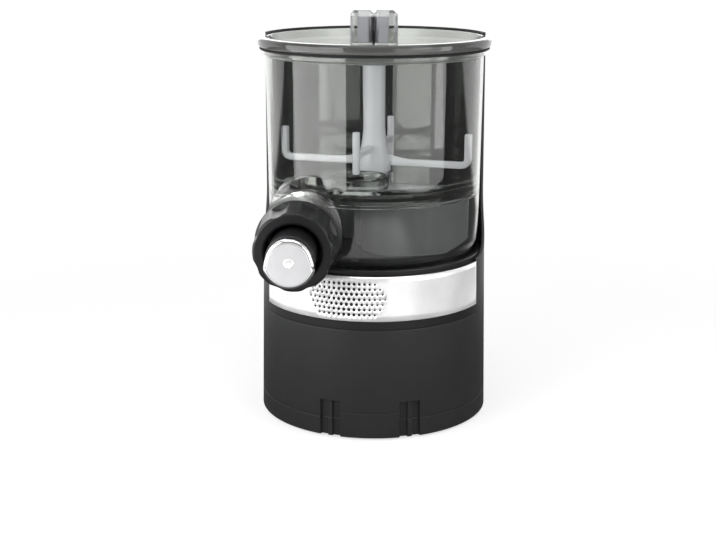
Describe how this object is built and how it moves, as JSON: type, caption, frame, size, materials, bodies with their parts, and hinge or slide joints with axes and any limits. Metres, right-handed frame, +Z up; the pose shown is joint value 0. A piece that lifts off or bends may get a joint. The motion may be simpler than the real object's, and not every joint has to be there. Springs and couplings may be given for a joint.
{
  "type": "electric pasta maker",
  "caption": "Countertop pasta machine: motor base with a tall rear shell, clear lift-off mixing bowl, inner paddle and press rotor, side nozzle with a screw ring and hooded die.",
  "frame": {"origin": "on the table, on the bowl's vertical axis", "axes": "+Z up, the nozzle points to -Y, the nozzle stands on the -X side"},
  "size_m": [0.225, 0.3083, 0.3929],
  "materials": {
    "housing": "satin charcoal moulding",
    "black_plastic": "satin black",
    "smoke": "clear grey smoke",
    "frosted": "milky translucent",
    "band_steel": "brushed round the body",
    "chrome": "mirror",
    "satin_steel": "fine satin",
    "plain_steel": "ground",
    "zinc": "as cast",
    "rubber": "matte",
    "copper": "enamelled wire",
    "bronze": "sintered",
    "acetal": "milky white",
    "ferrite": "dull",
    "circuit": "solder mask",
    "key": "soft grey"
  },
  "bodies": {
    "base": {"base_tray": "housing", "rubber_feet": "rubber", "tray_screws": "zinc", "rear_shell": "housing", "front_apron": "housing", "top_deck": "black_plastic", "steel_band": "band_steel", "intake_filter": "rubber", "bowl_seat_ring": "black_plastic", "deck_screws": "zinc", "cord_gland": "rubber", "control_fascia": "black_plastic", "fascia_screws": "zinc", "control_board": "circuit", "power_board": "circuit", "gearbox_housing": "zinc", "gearbox_cover": "zinc", "gearbox_screws": "zinc", "output_bush_lower": "bronze", "output_bush_upper": "bronze", "shaft_seal": "rubber", "interlock_switch": "black_plastic", "motor_can": "plain_steel", "motor_magnets": "ferrite", "motor_end_bell": "black_plastic", "motor_screws": "zinc", "idler_axle": "plain_steel"},
    "motor_rotor": {"motor_shaft": "plain_steel", "rotor_core": "plain_steel", "rotor_winding": "copper", "cooling_fan": "acetal", "motor_pinion": "plain_steel"},
    "idler": {"compound_gear": "acetal"},
    "output": {"output_gear": "plain_steel", "output_shaft": "plain_steel", "drive_hub": "black_plastic"},
    "plunger": {"interlock_plunger": "acetal"},
    "power_key": {"button_power": "key"},
    "auto_key": {"button_auto": "key"},
    "mix_key": {"button_mix": "key"},
    "extrude_key": {"button_extrude": "key"},
    "bowl": {"mixing_bowl": "smoke", "kneading_deck": "smoke", "deck_gasket": "rubber"},
    "mixer": {"press_rotor": "frosted", "paddle": "frosted"},
    "die_set": {"spout_gasket": "rubber", "die_sleeve": "black_plastic", "die_plate": "bronze", "nozzle_hood": "chrome", "hood_face": "satin_steel", "hood_rivet": "chrome"},
    "nut": {"nozzle_nut": "housing"},
    "lid_set": {"lid": "smoke", "lid_bush": "black_plastic", "lid_knob": "smoke", "knob_screw": "zinc"}
  },
  "joints": [
    {"name": "motor_spin", "type": "hinge", "parent": "base", "child": "motor_rotor", "pos_m": [0.01131, 0.03077, 0.06], "axis": [0, 0, 1], "continuous": true},
    {"name": "idler_spin", "type": "hinge", "parent": "base", "child": "idler", "pos_m": [-0.03977, 0.03977, 0.104], "axis": [0, 0, 1], "continuous": true},
    {"name": "output_spin", "type": "hinge", "parent": "base", "child": "output", "pos_m": [0, 0, 0.117], "axis": [0, 0, 1], "continuous": true},
    {"name": "plunger_press", "type": "slide", "parent": "base", "child": "plunger", "axis": [0, 0, -1], "range_m": [0, 0.001], "stiffness_N_per_m": 300, "springref_m": -0.002},
    {"name": "power_press", "type": "slide", "parent": "base", "child": "power_key", "axis": [-0.848, -0.5299, 0], "range_m": [0, 0.0015], "stiffness_N_per_m": 500, "springref_m": -0.002},
    {"name": "auto_press", "type": "slide", "parent": "base", "child": "auto_key", "axis": [-0.848, -0.5299, 0], "range_m": [0, 0.0015], "stiffness_N_per_m": 500, "springref_m": -0.002},
    {"name": "mix_press", "type": "slide", "parent": "base", "child": "mix_key", "axis": [-0.848, -0.5299, 0], "range_m": [0, 0.0015], "stiffness_N_per_m": 500, "springref_m": -0.002},
    {"name": "extrude_press", "type": "slide", "parent": "base", "child": "extrude_key", "axis": [-0.848, -0.5299, 0], "range_m": [0, 0.0015], "stiffness_N_per_m": 500, "springref_m": -0.002},
    {"name": "bowl_lift", "type": "slide", "parent": "base", "child": "bowl", "axis": [0, 0, 1], "range_m": [0, 0.225]},
    {"name": "mixer_spin", "type": "hinge", "parent": "bowl", "child": "mixer", "pos_m": [0, 0, 0.2], "axis": [0, 0, 1], "continuous": true},
    {"name": "die_pull", "type": "slide", "parent": "bowl", "child": "die_set", "axis": [0, -1, 0], "range_m": [0, 0.08]},
    {"name": "nut_turn", "type": "hinge", "parent": "die_set", "child": "nut", "pos_m": [-0.067, -0.13, 0.19], "axis": [0, -1, 0], "range_deg": [0, 60]},
    {"name": "lid_lift", "type": "slide", "parent": "bowl", "child": "lid_set", "axis": [0, 0, 1], "range_m": [0, 0.06]}
  ],
  "couplings": [
    {"joint": "idler_spin", "follows": "motor_spin", "ratio": -0.25758},
    {"joint": "output_spin", "follows": "motor_spin", "ratio": 0.075496},
    {"joint": "mixer_spin", "follows": "motor_spin", "ratio": 0.075496}
  ]
}
